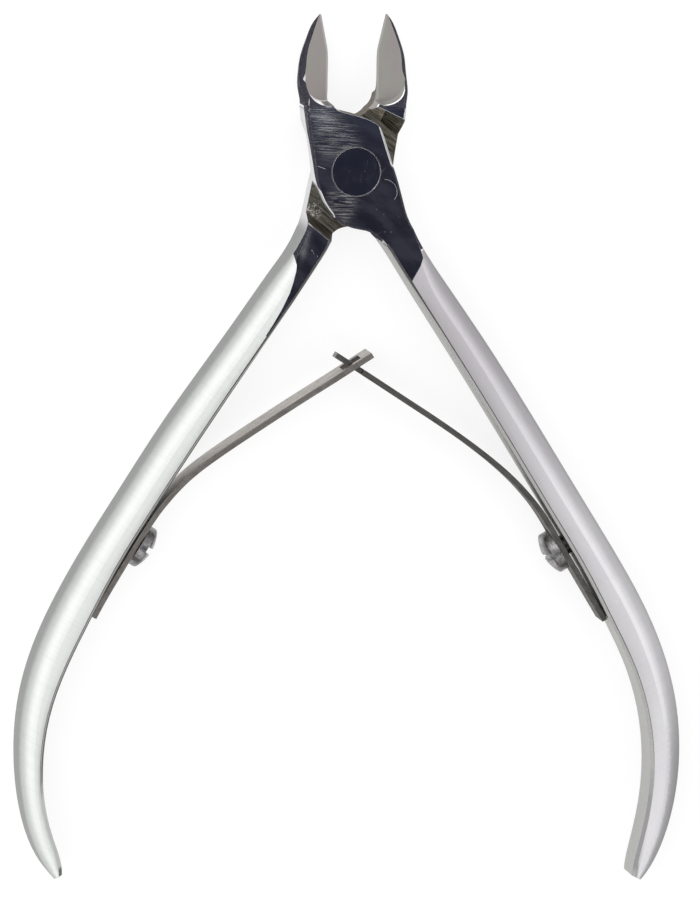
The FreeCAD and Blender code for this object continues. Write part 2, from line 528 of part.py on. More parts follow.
dim(s, "DistanceY", (-1, 1, 5, 2, v["joint_thick"]), "Sizes.joint_thick", "top")
rev = pin.newObject("PartDesign::Revolution", "pin_turned")
rev.Profile = s
rev.ReferenceAxis = (s, ["V_Axis"])
rev.Angle = 360
doc.recompute()


# ---- leaf springs: strips standing on edge, bent in plan
def offset_path(pts, d, n=140):
    c = Part.BSplineCurve()
    c.interpolate([V(p[0], p[1], 0) for p in pts])
    a, b = c.FirstParameter, c.LastParameter
    out = []
    for i in range(n + 1):
        u = a + (b - a) * i / n
        p, t = c.value(u), c.tangent(u)[0]
        out.append((p.x - t.y * d, p.y + t.x * d))
    return out


LEAF_L = [(2.5, -22.27), (0.45, -23.58), (-1.64, -24.93), (-5.52, -27.34), (-9.25, -29.72), (-12.95, -32.12), (-16.62, -34.6), (-19.72, -37.0),
          (-22.0, -39.35), (-23.45, -41.15), (-24.6, -42.85), (-25.9, -44.9), (-27.3, -47.2), (-28.8, -49.72), (-30.14, -52.05), (-31.08, -53.8)]
LEAF_R = [(-1.75, -22.42), (0.4, -23.79), (2.68, -25.25), (6.42, -27.70), (10.23, -30.19), (13.76, -32.62), (17.03, -35.09), (19.93, -37.62),
          (22.1, -39.95), (23.55, -41.85), (24.8, -43.85), (26.15, -46.1), (27.5, -48.35), (29.45, -51.6), (31.38, -54.8)]


def leaf(name, path, hole_at, hole_turn):
    body = new_body(name)
    wd, th, zm = v["leaf_width"], v["leaf_thick"], v["leaf_middle"]
    s = sketch(body, name + "_plan")
    s.AttachmentOffset = FreeCAD.Placement(V(0, 0, zm - wd / 2), FreeCAD.Rotation())
    bind(s, ".AttachmentOffset.Base.z", "Sizes.leaf_middle - Sizes.leaf_width / 2")
    a = offset_path(path, th / 2, 34)
    b = offset_path(path, -th / 2, 34)
    spline(s, a)
    s.addGeometry(Part.LineSegment(V(a[-1][0], a[-1][1], 0), V(b[-1][0], b[-1][1], 0)), False)
    spline(s, list(reversed(b)))
    s.addGeometry(Part.LineSegment(V(b[0][0], b[0][1], 0), V(a[0][0], a[0][1], 0)), False)
    f = body.newObject("PartDesign::Pad", name + "_strip")
    f.Profile = s
    f.Length = wd
    bind(f, "Length", "Sizes.leaf_width")
    doc.recompute()
    s = sketch(body, name + "_hole_plan")
    c, w = math.cos(math.radians(hole_turn)), math.sin(math.radians(hole_turn))
    s.AttachmentOffset = FreeCAD.Placement(
        V(hole_at[0] - 2 * c, hole_at[1] - 2 * w, zm),
        FreeCAD.Rotation(V(0, 0, 1), hole_turn) * FreeCAD.Rotation(V(0, 1, 0), 90))
    s.addGeometry(Part.Circle(V(0, 0, 0), V(0, 0, 1), v["leaf_hole"]), False)
    s.addConstraint(C("Coincident", 0, 3, -1, 1))
    dim(s, "Radius", (0, v["leaf_hole"]), "Sizes.leaf_hole", "hole")
    pocket(body, name + "_hole", s, 4.0, up=True)
    return body


def box_plan(body, name, at, turn, x0, x1, z0, z1, back=2.0):
    """A rectangle standing across a leaf: local X up (Z), local Y along the leaf."""
    s = sketch(body, name)
    n = (math.cos(math.radians(turn)), math.sin(math.radians(turn)))
    s.AttachmentOffset = FreeCAD.Placement(
        V(at[0] - back * n[0], at[1] - back * n[1], v["leaf_middle"]),
        FreeCAD.Rotation(V(0, 0, 1), turn) * FreeCAD.Rotation(V(0, 1, 0), 90))
    poly(s, [(z0, x0), (z1, x0), (z1, x1), (z0, x1)])
    return s


leaf_l = leaf("left_leaf_spring", LEAF_L, SCREW_L, TURN_L)
leaf_r = leaf("right_leaf_spring", LEAF_R, SCREW_R, TURN_R)
CROSS = (0.30, -23.70)
hs, ls = v["slot_height"] / 2, v["slot_length"] / 2
s = box_plan(leaf_l, "slot_plan", CROSS, 122.6, -ls, ls, -hs, hs)
pocket(leaf_l, "slot", s, 4.0, up=True)
ht = v["tongue_height"] / 2
for k, (z0, z1) in enumerate(((ht, 4.0), (-4.0, -ht))):
    # the narrow tongue begins a little short of the other leaf
    s = box_plan(leaf_r, "tongue_plan_%d" % k, (1.35, -24.40), 57.4, 0.0, 6.0, z0, z1)
    pocket(leaf_r, "tongue_%d" % k, s, 4.0, up=True)


# ---- screws that hold the leaves: domed slotted head, plain shank
def screw(name, at, turn):
    body = new_body(name)
    s = sketch(body, name + "_profile", "XZ_Plane")
    r, rim, dome, sh, ln = v["screw_head_radius"], v["screw_rim"], v["screw_dome"], v["screw_shank"], v["screw_length"]
    L = lambda a, b: Part.LineSegment(V(a[0], a[1], 0), V(b[0], b[1], 0))
    big = (r * r + dome * dome) / (2 * dome)
    half = math.asin(r / big) / 2
    arc = Part.Arc(V(r, rim, 0), V(big * math.sin(half), rim + dome - big + big * math.cos(half), 0), V(0, rim + dome, 0))
    s.addGeometry([L((0, -ln), (sh, -ln)), L((sh, -ln), (sh, 0)), L((sh, 0), (r, 0)), L((r, 0), (r, rim)), arc, L((0, rim + dome), (0, -ln))], False)
    s.addConstraint([C("Coincident", 0, 2, 1, 1), C("Coincident", 1, 2, 2, 1), C("Coincident", 2, 2, 3, 1), C("Coincident", 3, 2, 4, 1),
                     C("Coincident", 4, 2, 5, 1), C("Coincident", 5, 2, 0, 1), C("Horizontal", 0), C("Vertical", 1), C("Vertical", 3),
                     C("PointOnObject", 2, 1, -1), C("PointOnObject", 2, 2, -1), C("PointOnObject", 4, 2, -2), C("PointOnObject", 0, 1, -2),
                     C("PointOnObject", 4, 3, -2)])
    dim(s, "DistanceX", (-1, 1, 2, 1, sh), "Sizes.screw_shank", "shank")
    dim(s, "DistanceX", (-1, 1, 2, 2, r), "Sizes.screw_head_radius", "head")
    dim(s, "DistanceY", (-1, 1, 3, 2, rim), "Sizes.screw_rim", "rim")
    dim(s, "DistanceY", (0, 1, -1, 1, ln), "Sizes.screw_length", "length")
    dim(s, "DistanceY", (-1, 1, 4, 2, rim + dome), "Sizes.screw_rim + Sizes.screw_dome", "dome")
    f = body.newObject("PartDesign::Revolution", name + "_turned")
    f.Profile = s
    f.ReferenceAxis = (s, ["V_Axis"])
    f.Angle = 360
    doc.recompute()
    # the rim of the head is rounded over
    rims = ["Edge%d" % (i + 1) for i, e in enumerate(body.Shape.Edges)
            if not e.Degenerated and "Circle" in type(e.Curve).__name__
            and abs(e.Curve.Radius - r) < 1e-3 and abs(e.Curve.Center.z - rim) < 1e-3]
    if len(rims) != 1:
        raise RuntimeError("%s: the rim is not found once: %s" % (name, rims))
    base = body.Tip
    f = body.newObject("PartDesign::Fillet", name + "_rim")
    f.Base = (base, rims)
    f.Radius = v["screw_soft"]
    bind(f, "Radius", "Sizes.screw_soft")
    doc.recompute()
    s = sketch(body, name + "_slot_plan")
    s.AttachmentOffset = FreeCAD.Placement(V(0, 0, rim + dome), FreeCAD.Rotation())
    bind(s, ".AttachmentOffset.Base.z", "Sizes.screw_rim + Sizes.screw_dome")
    w = v["screw_slot_width"] / 2
    poly(s, [(-4, -w), (4, -w), (4, w), (-4, w)])
    pocket(body, name + "_slot", s, v["screw_slot_depth"], "Sizes.screw_slot_depth", up=False)
    a = math.radians(turn)
    base = v["leaf_thick"] / 2 + v["head_seat"]
    body.Placement = FreeCAD.Placement(
        V(at[0] - base * math.cos(a), at[1] - base * math.sin(a), v["leaf_middle"]),
        FreeCAD.Rotation(V(0, 0, 1), turn + 180) * FreeCAD.Rotation(V(0, 1, 0), 90))
    doc.recompute()
    return body


screw_l = screw("left_spring_screw", SCREW_L, TURN_L)
screw_r = screw("right_spring_screw", SCREW_R, TURN_R)

# ---- checks on the model, then the files
doc.recompute()
bodies = [front, back, pin, leaf_l, leaf_r, screw_l, screw_r]
bad = [o.Name for o in doc.Objects if "Invalid" in o.State or "Error" in o.State]
if bad:
    raise RuntimeError("failed: " + ", ".join(bad))
for b in bodies:
    sh = b.Shape
    if sh.isNull() or not sh.isValid() or len(sh.Solids) != 1:
        raise RuntimeError("bad shape: %s %s %d" % (b.Label, sh.isValid(), len(sh.Solids)))
    box = sh.BoundBox
    print("%-20s volume %9.3f  x %.2f %.2f  y %.2f %.2f  z %.2f %.2f" % (
        b.Label, sh.Volume, box.XMin, box.XMax, box.YMin, box.YMax, box.ZMin, box.ZMax))
for b in bodies:
    b.Shape.exportStep("parts/%s.step" % b.Label)
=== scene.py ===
import bpy
import bmesh
import math
from mathutils import Matrix, Vector


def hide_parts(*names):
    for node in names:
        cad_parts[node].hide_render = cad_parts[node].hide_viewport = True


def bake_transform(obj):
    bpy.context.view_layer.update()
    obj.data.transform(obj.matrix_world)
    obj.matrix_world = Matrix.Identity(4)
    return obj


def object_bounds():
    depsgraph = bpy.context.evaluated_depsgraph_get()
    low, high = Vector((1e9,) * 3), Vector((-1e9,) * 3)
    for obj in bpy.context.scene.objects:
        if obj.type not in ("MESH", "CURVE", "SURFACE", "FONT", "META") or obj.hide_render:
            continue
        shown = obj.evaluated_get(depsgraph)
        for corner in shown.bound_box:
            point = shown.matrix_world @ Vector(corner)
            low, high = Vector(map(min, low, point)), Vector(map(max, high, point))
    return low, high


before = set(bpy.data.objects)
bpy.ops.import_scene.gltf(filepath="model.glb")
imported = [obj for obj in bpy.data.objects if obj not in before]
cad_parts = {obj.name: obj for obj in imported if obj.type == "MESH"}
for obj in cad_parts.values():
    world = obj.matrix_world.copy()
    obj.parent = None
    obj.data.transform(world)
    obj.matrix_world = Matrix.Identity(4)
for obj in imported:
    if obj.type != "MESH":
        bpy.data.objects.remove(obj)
cad_lo, cad_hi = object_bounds()
MM = 0.001

# ------------------------------------------------------------------ camera
# Long lens from above, leaning a little towards the left handle and the jaws.
turn = Matrix.Rotation(math.radians(0.7), 3, "Z")
to_cam = (turn @ Vector((-0.165, 0.13, 1.0))).normalized()
right = turn @ Vector((0.98666, 0.0, 0.16280))
up = turn @ Vector((0.02071, 0.99187, -0.12553))
PX_PER_MM = 8.3
aim = (right * 0.3806 + up * -34.192 + to_cam * -0.873) * MM
distance = 1.35
cam_data = bpy.data.cameras.new("camera")
cam = bpy.data.objects.new("camera", cam_data)
bpy.context.scene.collection.objects.link(cam)
cam_data.sensor_width = 36.0
cam_data.lens = 36.0 * distance / (900 / PX_PER_MM * MM)
cam_data.clip_start = 0.05
cam_data.clip_end = 20
rot = Matrix((right, up, to_cam)).transposed()
cam.matrix_world = Matrix.Translation(aim + to_cam * distance) @ rot.to_4x4()
bpy.context.scene.camera = cam


# ------------------------------------------------------------------ node helpers
class Tree:
    """A thin wrapper that keeps node graphs readable. Numbers and sockets can be mixed as inputs."""

    def __init__(self, nt):
        self.nt = nt

    def plug(self, socket, value):
        if isinstance(value, bpy.types.NodeSocket):
            self.nt.links.new(value, socket)
        elif isinstance(value, (tuple, list)) and len(value) == 3 and len(socket.default_value) == 4:
            socket.default_value = (*value, 1)
        else:
            socket.default_value = value

    def math(self, op, a, b=None, c=None, clamp=False):
        n = self.nt.nodes.new("ShaderNodeMath")
        n.operation = op
        n.use_clamp = clamp
        for i, v in enumerate((a, b, c)):
            if v is not None:
                self.plug(n.inputs[i], v)
        return n.outputs[0]

    def add(self, a, b):
        return self.math("ADD", a, b)

    def mul(self, a, b):
        return self.math("MULTIPLY", a, b)

    def above(self, a, level, soft=None):
        """1 above the level, 0 below; soft is the width of the change."""
        if soft is None:
            return self.math("GREATER_THAN", a, level)
        n = self.nt.nodes.new("ShaderNodeMapRange")
        n.interpolation_type = "SMOOTHSTEP"
        self.plug(n.inputs[0], a)
        n.inputs[1].default_value = level - soft / 2
        n.inputs[2].default_value = level + soft / 2
        n.inputs[3].default_value = 0.0
        n.inputs[4].default_value = 1.0
        return n.outputs[0]

    def below(self, a, level, soft=None):
        return self.math("SUBTRACT", 1.0, self.above(a, level, soft))

    def both(self, *masks):
        out = masks[0]
        for m in masks[1:]:
            out = self.mul(out, m)
        return out

    def either(self, a, b):
        return self.math("MAXIMUM", a, b)

    def mix(self, f, a, b):
        n = self.nt.nodes.new("ShaderNodeMix")
        n.data_type = "FLOAT"
        self.plug(n.inputs[0], f)
        self.plug(n.inputs[2], a)
        self.plug(n.inputs[3], b)
        return n.outputs[0]

    def mixc(self, f, a, b, kind="MIX"):
        n = self.nt.nodes.new("ShaderNodeMix")
        n.data_type = "RGBA"
        n.blend_type = kind
        self.plug(n.inputs[0], f)
        self.plug(n.inputs[6], a)
        self.plug(n.inputs[7], b)
        return n.outputs[2]

    def ramp(self, f, stops):
        n = self.nt.nodes.new("ShaderNodeValToRGB")
        self.plug(n.inputs[0], f)
        cr = n.color_ramp
        while len(cr.elements) < len(stops):
            cr.elements.new(0.5)
        for e, (p, c) in zip(cr.elements, stops):
            e.position = p
            e.color = (*c, 1) if isinstance(c, tuple) else (c, c, c, 1)
        return n.outputs[0]

    def vec(self, x, y, z):
        n = self.nt.nodes.new("ShaderNodeCombineXYZ")
        for i, v in enumerate((x, y, z)):
            self.plug(n.inputs[i], v)
        return n.outputs[0]

    def split(self, v):
        n = self.nt.nodes.new("ShaderNodeSeparateXYZ")
        self.nt.links.new(v, n.inputs[0])
        return n.outputs[0], n.outputs[1], n.outputs[2]

    def scaled(self, v, s):
        n = self.nt.nodes.new("ShaderNodeVectorMath")
        n.operation = "MULTIPLY"
        self.nt.links.new(v, n.inputs[0])
        n.inputs[1].default_value = (s, s, s) if isinstance(s, (int, float)) else s
        return n.outputs[0]

    def turned(self, v, degrees, scale):
        """Coordinates turned about Z, then scaled: long streaks lie along the turned X."""
        n = self.nt.nodes.new("ShaderNodeMapping")
        n.vector_type = "TEXTURE"
        self.nt.links.new(v, n.inputs[0])
        n.inputs["Rotation"].default_value = (0, 0, math.radians(degrees))
        return self.scaled(n.outputs[0], scale)

    def noise(self, v, scale=1.0, detail=3.0, rough=0.5, distort=0.0):
        n = self.nt.nodes.new("ShaderNodeTexNoise")
        n.inputs["Scale"].default_value = scale
        n.inputs["Detail"].default_value = detail
        n.inputs["Roughness"].default_value = rough
        n.inputs["Distortion"].default_value = distort
        self.nt.links.new(v, n.inputs["Vector"])
        return n.outputs[0]

    def cells(self, v, scale=1.0):
        n = self.nt.nodes.new("ShaderNodeTexVoronoi")
        n.inputs["Scale"].default_value = scale
        self.nt.links.new(v, n.inputs["Vector"])
        return n.outputs["Distance"]

    def bump(self, height, strength, distance, normal=None):
        n = self.nt.nodes.new("ShaderNodeBump")
        n.inputs["Strength"].default_value = strength
        n.inputs["Distance"].default_value = distance
        self.nt.links.new(height, n.inputs["Height"])
        if normal is not None:
            self.nt.links.new(normal, n.inputs["Normal"])
        return n.outputs[0]

    def rounded(self, radius, normal=None):
        n = self.nt.nodes.new("ShaderNodeBevel")
        n.samples = 6
        self.plug(n.inputs["Radius"], radius)
        if normal is not None:
            self.nt.links.new(normal, n.inputs["Normal"])
        return n.outputs[0]


def new_material(name, metallic=1.0):
    m = bpy.data.materials.new(name)
    m.use_nodes = True
    t = Tree(m.node_tree)
    b = m.node_tree.nodes["Principled BSDF"]
    b.inputs["Metallic"].default_value = metallic
    tc = m.node_tree.nodes.new("ShaderNodeTexCoord")
    p = t.scaled(tc.outputs["Object"], 1000.0)  # millimetres on the piece
    return m, t, b, p, tc.outputs["Normal"]


# ------------------------------------------------------------------ light
# A white tent: dark opening overhead, bright ring round it, dimmer towards the horizon. The tent is
# brighter to the upper left and lower right.
scene = bpy.context.scene
scene.view_settings.view_transform = "Standard"
scene.view_settings.look = "None"
scene.view_settings.exposure = 0.0
world = bpy.data.worlds.new("studio")
scene.world = world
world.use_nodes = True
wt = Tree(world.node_tree)
world.node_tree.nodes.clear()
out = world.node_tree.nodes.new("ShaderNodeOutputWorld")
bg = world.node_tree.nodes.new("ShaderNodeBackground")
coord = world.node_tree.nodes.new("ShaderNodeTexCoord")
wx, wy, wz = wt.split(coord.outputs["Generated"])
tent = wt.ramp(wz, [(0.0, 0.25), (0.10, 0.30), (0.30, 0.46), (0.45, 0.74), (0.60, 1.02), (0.75, 1.28), (0.88, 1.48), (1.0, 1.50)])
side = wt.mul(wt.mul(wx, wy), -2.0)
gain = wt.add(wt.add(wt.mul(side, 0.30), 0.94), wt.mul(wt.math("MAXIMUM", wt.mul(wx, -1.0), 0.0), 0.22))
n = world.node_tree.nodes.new("ShaderNodeVectorMath")
n.operation = "SCALE"
world.node_tree.links.new(tent, n.inputs[0])
world.node_tree.links.new(gain, n.inputs["Scale"])
# the dark opening is what the level faces of the joint mirror
opening = wt.above(wt.add(wt.add(wt.mul(wx, 0.162), wt.mul(wy, -0.127)), wt.mul(wz, 0.979)), 0.960, 0.030)
sky = wt.mixc(opening, n.outputs[0], (0.029, 0.0305, 0.049))
world.node_tree.links.new(sky, bg.inputs["Color"])
world.node_tree.links.new(bg.outputs[0], out.inputs["Surface"])
bg.inputs["Strength"].default_value = 1.0

# ------------------------------------------------------------------ floor
floor_z = cad_lo.z
me = bpy.data.meshes.new("floor")
h = 3.0
me.from_pydata([(-h, -h, floor_z), (h, -h, floor_z), (h, h, floor_z), (-h, h, floor_z)], [], [(0, 1, 2, 3)])
floor = bpy.data.objects.new("floor", me)
scene.collection.objects.link(floor)
m, t, b, p, nrm = new_material("floor_white", 0.0)
b.inputs["Base Color"].default_value = (0.24, 0.24, 0.24, 1)
b.inputs["Roughness"].default_value = 0.9
b.inputs["Specular IOR Level"].default_value = 0.1
b.inputs["Emission Color"].default_value = (1, 1, 1, 1)
b.inputs["Emission Strength"].default_value = 0.81
me.materials.append(m)


# ------------------------------------------------------------------ the levers' steel
def lever_steel(name, left_handle):
    """Mirror-polished joint, ground facets, rough recess and satin handle, told apart by where the
    surface is and how it faces on the piece itself. left_handle: the back lever's handle is the left one."""
    m, t, b, p, nrm = new_material(name)
    x, y, z = t.split(p)
    nx, ny, nz = t.split(nrm)
    anz = t.math("ABSOLUTE", nz)
    rad = t.math("SQRT", t.add(t.mul(x, x), t.mul(y, y)))
    ang = t.math("ARCTAN2", x, t.mul(y, -1.0))

    # masks
    level_f = t.both(t.above(z, 6.985), t.below(z, 7.015), t.above(nz, 0.9993))
    level_b = t.both(t.above(z, -0.02), t.below(z, 0.015), t.below(nz, -0.9993))
    level = t.either(level_f, level_b)
    slope = t.both(t.above(anz, 0.2), t.below(anz, 0.86))
    near = t.both(t.below(z, 6.985), t.above(z, 0.015))
    jaw_shoulder = t.both(slope, near, t.below(ny, -0.22), t.above(y, 2.0), t.below(y, 9.0), t.below(rad, 9.6))
    # the handle-side shoulder lies in a straight band across the lever
    cut = t.add(t.mul(x, 0.635 if left_handle else -0.635), t.mul(y, 0.772))
    hand_shoulder = t.both(slope, near, t.above(ny, 0.22), t.above(cut, -8.45), t.below(cut, -7.35))
    shoulder = t.either(jaw_shoulder, hand_shoulder)
    pit = t.both(t.above(anz, 0.995), t.above(z, 3.3), t.below(z, 3.7), t.below(rad, 14.0))
    facet = t.both(t.above(y, 8.0), t.above(t.math("ABSOLUTE", nx), 0.40), t.above(nz, 0.86), t.above(z, 2.9))
    scoop = t.both(t.above(y, 7.3), t.below(y, 13.0), t.above(z, 2.9), t.above(ny, -0.05 if left_handle else 0.25), t.above(nz, -0.08), t.below(nz, 0.86),
                   t.below(nx, 0.3) if left_handle else t.above(nx, -0.3))
    body = t.either(t.either(level, t.either(shoulder, pit)), t.either(facet, scoop))
    # satin begins below the joint: the outer faces of joint and jaws stay polished
    satin = t.both(t.below(y, -6.4, 2.2), t.math("SUBTRACT", 1.0, body))
    # dark polished flanks of the jaws; on the front lever they run down beside the joint's face
    flank = t.above(y, 7.4, 1.2)
    if not left_handle:
        reach = t.add(z, t.add(t.mul(y, 0.30), -6.2))
        flank = t.either(flank, t.both(t.above(reach, 0.0, 0.35), t.below(nx, -0.12), t.above(y, -2.2, 1.0)))
        # the joint's right wall and the wall under it are as dark as its face
        flank = t.either(flank, t.both(t.above(nx, 0.015), t.above(x, 2.0), t.below(y, 1.0, 1.6), t.above(y, -9.6, 0.8)))
        flank = t.either(flank, t.both(t.below(ny, -0.02), t.above(x, -2.6, 0.5), t.below(x, 3.4, 0.6), t.below(y, -4.0), t.above(y, -9.4)))
    flank = t.both(flank, t.math("SUBTRACT", 1.0, body), t.above(nz, -0.35, 0.2))
    if left_handle:
        # the polished panel below the recess runs a little way onto the handle's crown
        d1 = t.add(t.add(t.mul(x, 0.961), t.mul(y, -0.276)), 6.5 * 0.961 - 5.4 * 0.276)
        d2 = t.add(t.add(t.mul(x, 0.9615), t.mul(y, 0.275)), 7.65 * 0.9615 + 9.4 * 0.275)
        panel = t.both(t.above(d1, 0.0, 0.12), t.above(d2, 0.0, 0.12), t.above(y, -11.9, 0.3), t.below(cut, -8.42, 0.08),
                       t.above(nz, 0.35, 0.1), t.above(z, 5.2), t.below(rad, 16.0), t.math("SUBTRACT", 1.0, body),
                       t.below(t.add(t.mul(nx, 0.85), t.mul(ny, -0.53)), 0.2))
        flank = t.either(flank, panel)
        satin = t.both(satin, t.math("SUBTRACT", 1.0, panel))
    else:
        satin = t.both(satin, t.math("SUBTRACT", 1.0, flank))
    throat = t.both(t.above(y, 5.4), t.below(y, 9.9), t.below(anz, 0.5), t.above(x, -1.2), t.below(x, 3.45),
                    t.below(nx, -0.10)) if left_handle else t.both(t.above(y, 5.4), t.below(y, 9.9), t.below(anz, 0.5), t.above(x, -3.45), t.below(x, 1.2), t.above(nx, 0.10))
    flank = t.both(flank, t.math("SUBTRACT", 1.0, throat))
    # the lit part of the hollow round the facet's foot
    if left_handle:
        crest = t.add(z, t.add(t.mul(t.math("MAXIMUM", t.add(y, -8.9), 0.0), 0.62), -6.96))
        lit = t.both(t.below(nx, -0.05, 0.25), t.above(crest, -0.60, 0.20))
    else:
        lit = t.above(nx, 0.20, 0.16)

    def spot(cx, cy, r, soft=1.0):
        dx, dy = t.add(x, -cx), t.add(y, -cy)
        return t.below(t.math("SQRT", t.add(t.mul(dx, dx), t.mul(dy, dy))), r, r * soft)

    def stroke(x0, y0, x1, y1, w, fade=0.15):
        """A straight scratch between two points."""
        ln = math.dist((x0, y0), (x1, y1))
        ux, uy = (x1 - x0) / ln, (y1 - y0) / ln
        along = t.add(t.add(t.mul(x, ux), t.mul(y, uy)), -(x0 * ux + y0 * uy))
        across = t.math("ABSOLUTE", t.add(t.add(t.mul(x, -uy), t.mul(y, ux)), x0 * uy - y0 * ux))
        return t.both(t.below(across, w, w * 1.9), t.above(along, 0.0, fade), t.below(along, ln, fade))

    # fine brushing: across the joint (level lines), and round the pivot on the handles
    fine = t.noise(t.turned(p, -3.0, (0.40, 7.5, 1.0)), 1.0, 3.0, 0.6)
    lines = t.noise(t.turned(p, -2.0, (0.26, 6.2, 0.5)), 1.0, 3.0, 0.62)
    patch = t.noise(t.scaled(p, (0.22, 0.30, 0.3)), 1.0, 2.0, 0.5)
    arc = t.noise(t.vec(t.mul(rad, 9.0), t.mul(ang, 14.0), t.mul(z, 0.35)), 1.0, 3.0, 0.6)
    arc2 = t.noise(t.vec(t.mul(rad, 2.2), t.mul(ang, 9.0), t.mul(z, 0.25)), 1.0, 4.0, 0.55)
    cloud = t.noise(t.scaled(p, 0.16), 1.0, 3.0, 0.5)
    grain = t.noise(t.scaled(p, 5.5), 1.0, 2.0, 0.6)
    wave = t.noise(t.scaled(p, 1.1), 1.0, 2.0, 0.5)
    if left_handle:
        brushed = t.add(0.10, t.mul(spot(4.2, 8.0, 1.3), 0.3))
        soft = t.mul(t.both(stroke(-5.55, -6.4, -6.75, -11.4, 0.42, 2.6), level_f), 0.8)
        marks = t.mul(stroke(-5.25, -9.3, -5.0, -9.9, 0.02), 0.5)
        dots = spot(-5.2, -10.2, 1.2)
    else:
        brushed = t.either(t.either(t.mul(spot(-2.6, 4.2, 3.1), 0.8), spot(-1.9, -4.0, 2.1)), t.add(0.08, t.mul(spot(-4.6, 7.6, 2.0), 0.6)))
        soft = t.mul(t.both(spot(-4.6, 7.4, 2.0, 1.6), level_f), 0.6)
        dx, dy = t.add(x, -3.45), t.add(y, 2.45)
        ring = t.add(t.math("SQRT", t.add(t.mul(dx, dx), t.mul(dy, dy))), t.mul(wave, 0.30))
        curl = t.both(t.below(t.math("ABSOLUTE", t.add(ring, -1.68)), 0.030, 0.035), t.above(x, 3.42, 0.2), t.above(y, -3.4, 0.3))
        marks = t.either(t.mul(curl, 0.6), t.either(t.mul(stroke(-4.7, 0.72, -3.72, 0.36, 0.025), 0.7), t.mul(stroke(2.85, -0.55, 3.5, 0.45, 0.016), 0.4)))
        dots = t.mul(t.either(spot(3.4, -6.0, 2.4), spot(2.9, 2.6, 1.2)), 0.55)
    streak = t.mul(t.both(brushed, t.either(t.mul(t.above(lines, 0.54, 0.14), 0.8), t.above(fine, 0.53, 0.10))), 0.85)
    pits = t.both(t.below(t.cells(p, 2.9), 0.12, 0.08), dots, t.above(t.noise(t.scaled(p, 1.7), 1.0, 1.0), 0.52, 0.06))
    marks = t.either(marks, pits)

    # how far a face turns towards the middle of the tool, across its own handle
    inward = t.add(t.mul(nx, 0.85 if left_handle else -0.85), t.mul(ny, -0.53))
    chamfer = t.both(satin, t.above(inward, 0.58, 0.06), t.above(anz, 0.25))
    wall = t.both(satin, t.above(inward, 0.60), t.below(anz, 0.25))

    # roughness
    smear = t.noise(t.turned(p, -35.0, (0.16, 0.42, 0.3)), 1.0, 3.0, 0.55)
    polished = t.add(t.add(0.07, t.mul(t.above(smear, 0.46, 0.3), 0.045)),
                     t.add(t.mul(streak, 0.19), t.add(t.mul(soft, 0.12), t.mul(marks, 0.30))))
    side_r = t.add(0.16, t.mul(grain, 0.10))
    # painted highlight: a bright crescent is painted white on the front lever's facet, round its foot, where the finish
    # is also smoother
    if left_handle:
        painted_crescent = t.mul(facet, 0.0)
    else:
        ox, oy = t.add(x, 3.42), t.add(y, -10.76)
        off = t.math("SQRT", t.add(t.mul(ox, ox), t.mul(oy, oy)))
        painted_crescent = t.both(facet, t.above(off, 2.50, 0.06), t.below(y, 11.3, 0.6), t.below(x, -1.9, 0.4), t.above(y, 7.6))
    facet_r = t.add(0.32, t.mul(t.noise(t.turned(p, 90.0, (0.6, 11.0, 1.0)), 1.0, 3.0), 0.10))
    satin_r = t.add(0.50, t.add(t.mul(arc, 0.07), t.mul(cloud, 0.05)))
    rough = t.mix(level, side_r, polished)
    rough = t.mix(flank, rough, 0.17)
    rough = t.mix(throat, rough, 0.38)
    rough = t.mix(facet, rough, t.mix(painted_crescent, facet_r, 0.20))
    rough = t.mix(scoop, rough, t.mix(lit, facet_r, 0.22))
    rough = t.mix(shoulder, rough, t.add(0.40, t.mul(grain, 0.2)))
    rough = t.mix(pit, rough, t.add(0.32, t.mul(grain, 0.25)))
    rough = t.mix(satin, rough, satin_r)

    # colour
    deep = t.mixc(t.above(smear, 0.50, 0.35), (0.47, 0.435, 0.462), (0.745, 0.755, 0.765))
    # painted highlight: the level face is painted a lighter blue-grey towards the jaws
    deep = t.mixc(t.mul(t.above(y, 3.5, 6.0), 0.7), deep, (0.71, 0.79, 0.87))
    deep = t.mixc(t.mul(streak, 0.55), deep, (0.88, 0.83, 0.74))
    deep = t.mixc(t.mul(marks, 0.55), deep, (0.84, 0.85, 0.84))
    side_c = t.mixc(grain, (0.54, 0.54, 0.55), (0.66, 0.66, 0.67))
    side_c = t.mixc(flank, side_c, t.mixc(wave, (0.51, 0.475, 0.51), (0.84, 0.80, 0.845)))
    # painted shade: the back lever's facet is painted darker than the front lever's, though both are the same ground
    # facet
    if left_handle:
        facet_a, facet_b = (0.285, 0.280, 0.258), (0.280, 0.258, 0.252)
    else:
        facet_a, facet_b = (0.435, 0.415, 0.390), (0.440, 0.398, 0.390)
    facet_c = t.mixc(t.above(t.noise(t.scaled(p, (0.7, 0.35, 0.7)), 1.0, 2.0), 0.5, 0.35), facet_a, facet_b)
    facet_c = t.mixc(t.mul(t.noise(t.turned(p, 90.0, (0.5, 16.0, 1.0)), 1.0, 3.0), 0.30), facet_c, tuple(c * 0.82 for c in facet_a))
    # a lighter honed strip along the cutting edge
    honed = t.add(t.math("ABSOLUTE", x), t.mul(t.math("MAXIMUM", 2.98, t.mul(y, 0.2098)), -1.0))
    facet_c = t.mixc(t.mul(t.below(honed, 0.22, 0.10), 0.25 if left_handle else 0.60), facet_c, (0.56, 0.55, 0.55) if left_handle else (0.66, 0.65, 0.65))
    # painted light and shade: the left handle is painted lighter than the right, the same satin steel lit differently,
    # and the right handle is painted darker towards the joint
    if left_handle:
        hand = t.mixc(arc2, (0.85, 0.875, 0.855), (0.91, 0.925, 0.905))
    else:
        hand = t.mixc(cloud, (0.79, 0.77, 0.80), (0.86, 0.85, 0.86))
        hand = t.mixc(t.above(y, -34.0, 30.0), hand, (0.66, 0.635, 0.665))
    hand = t.mixc(t.mul(t.above(arc, 0.60, 0.2), 0.20), hand, (0.70, 0.70, 0.70))
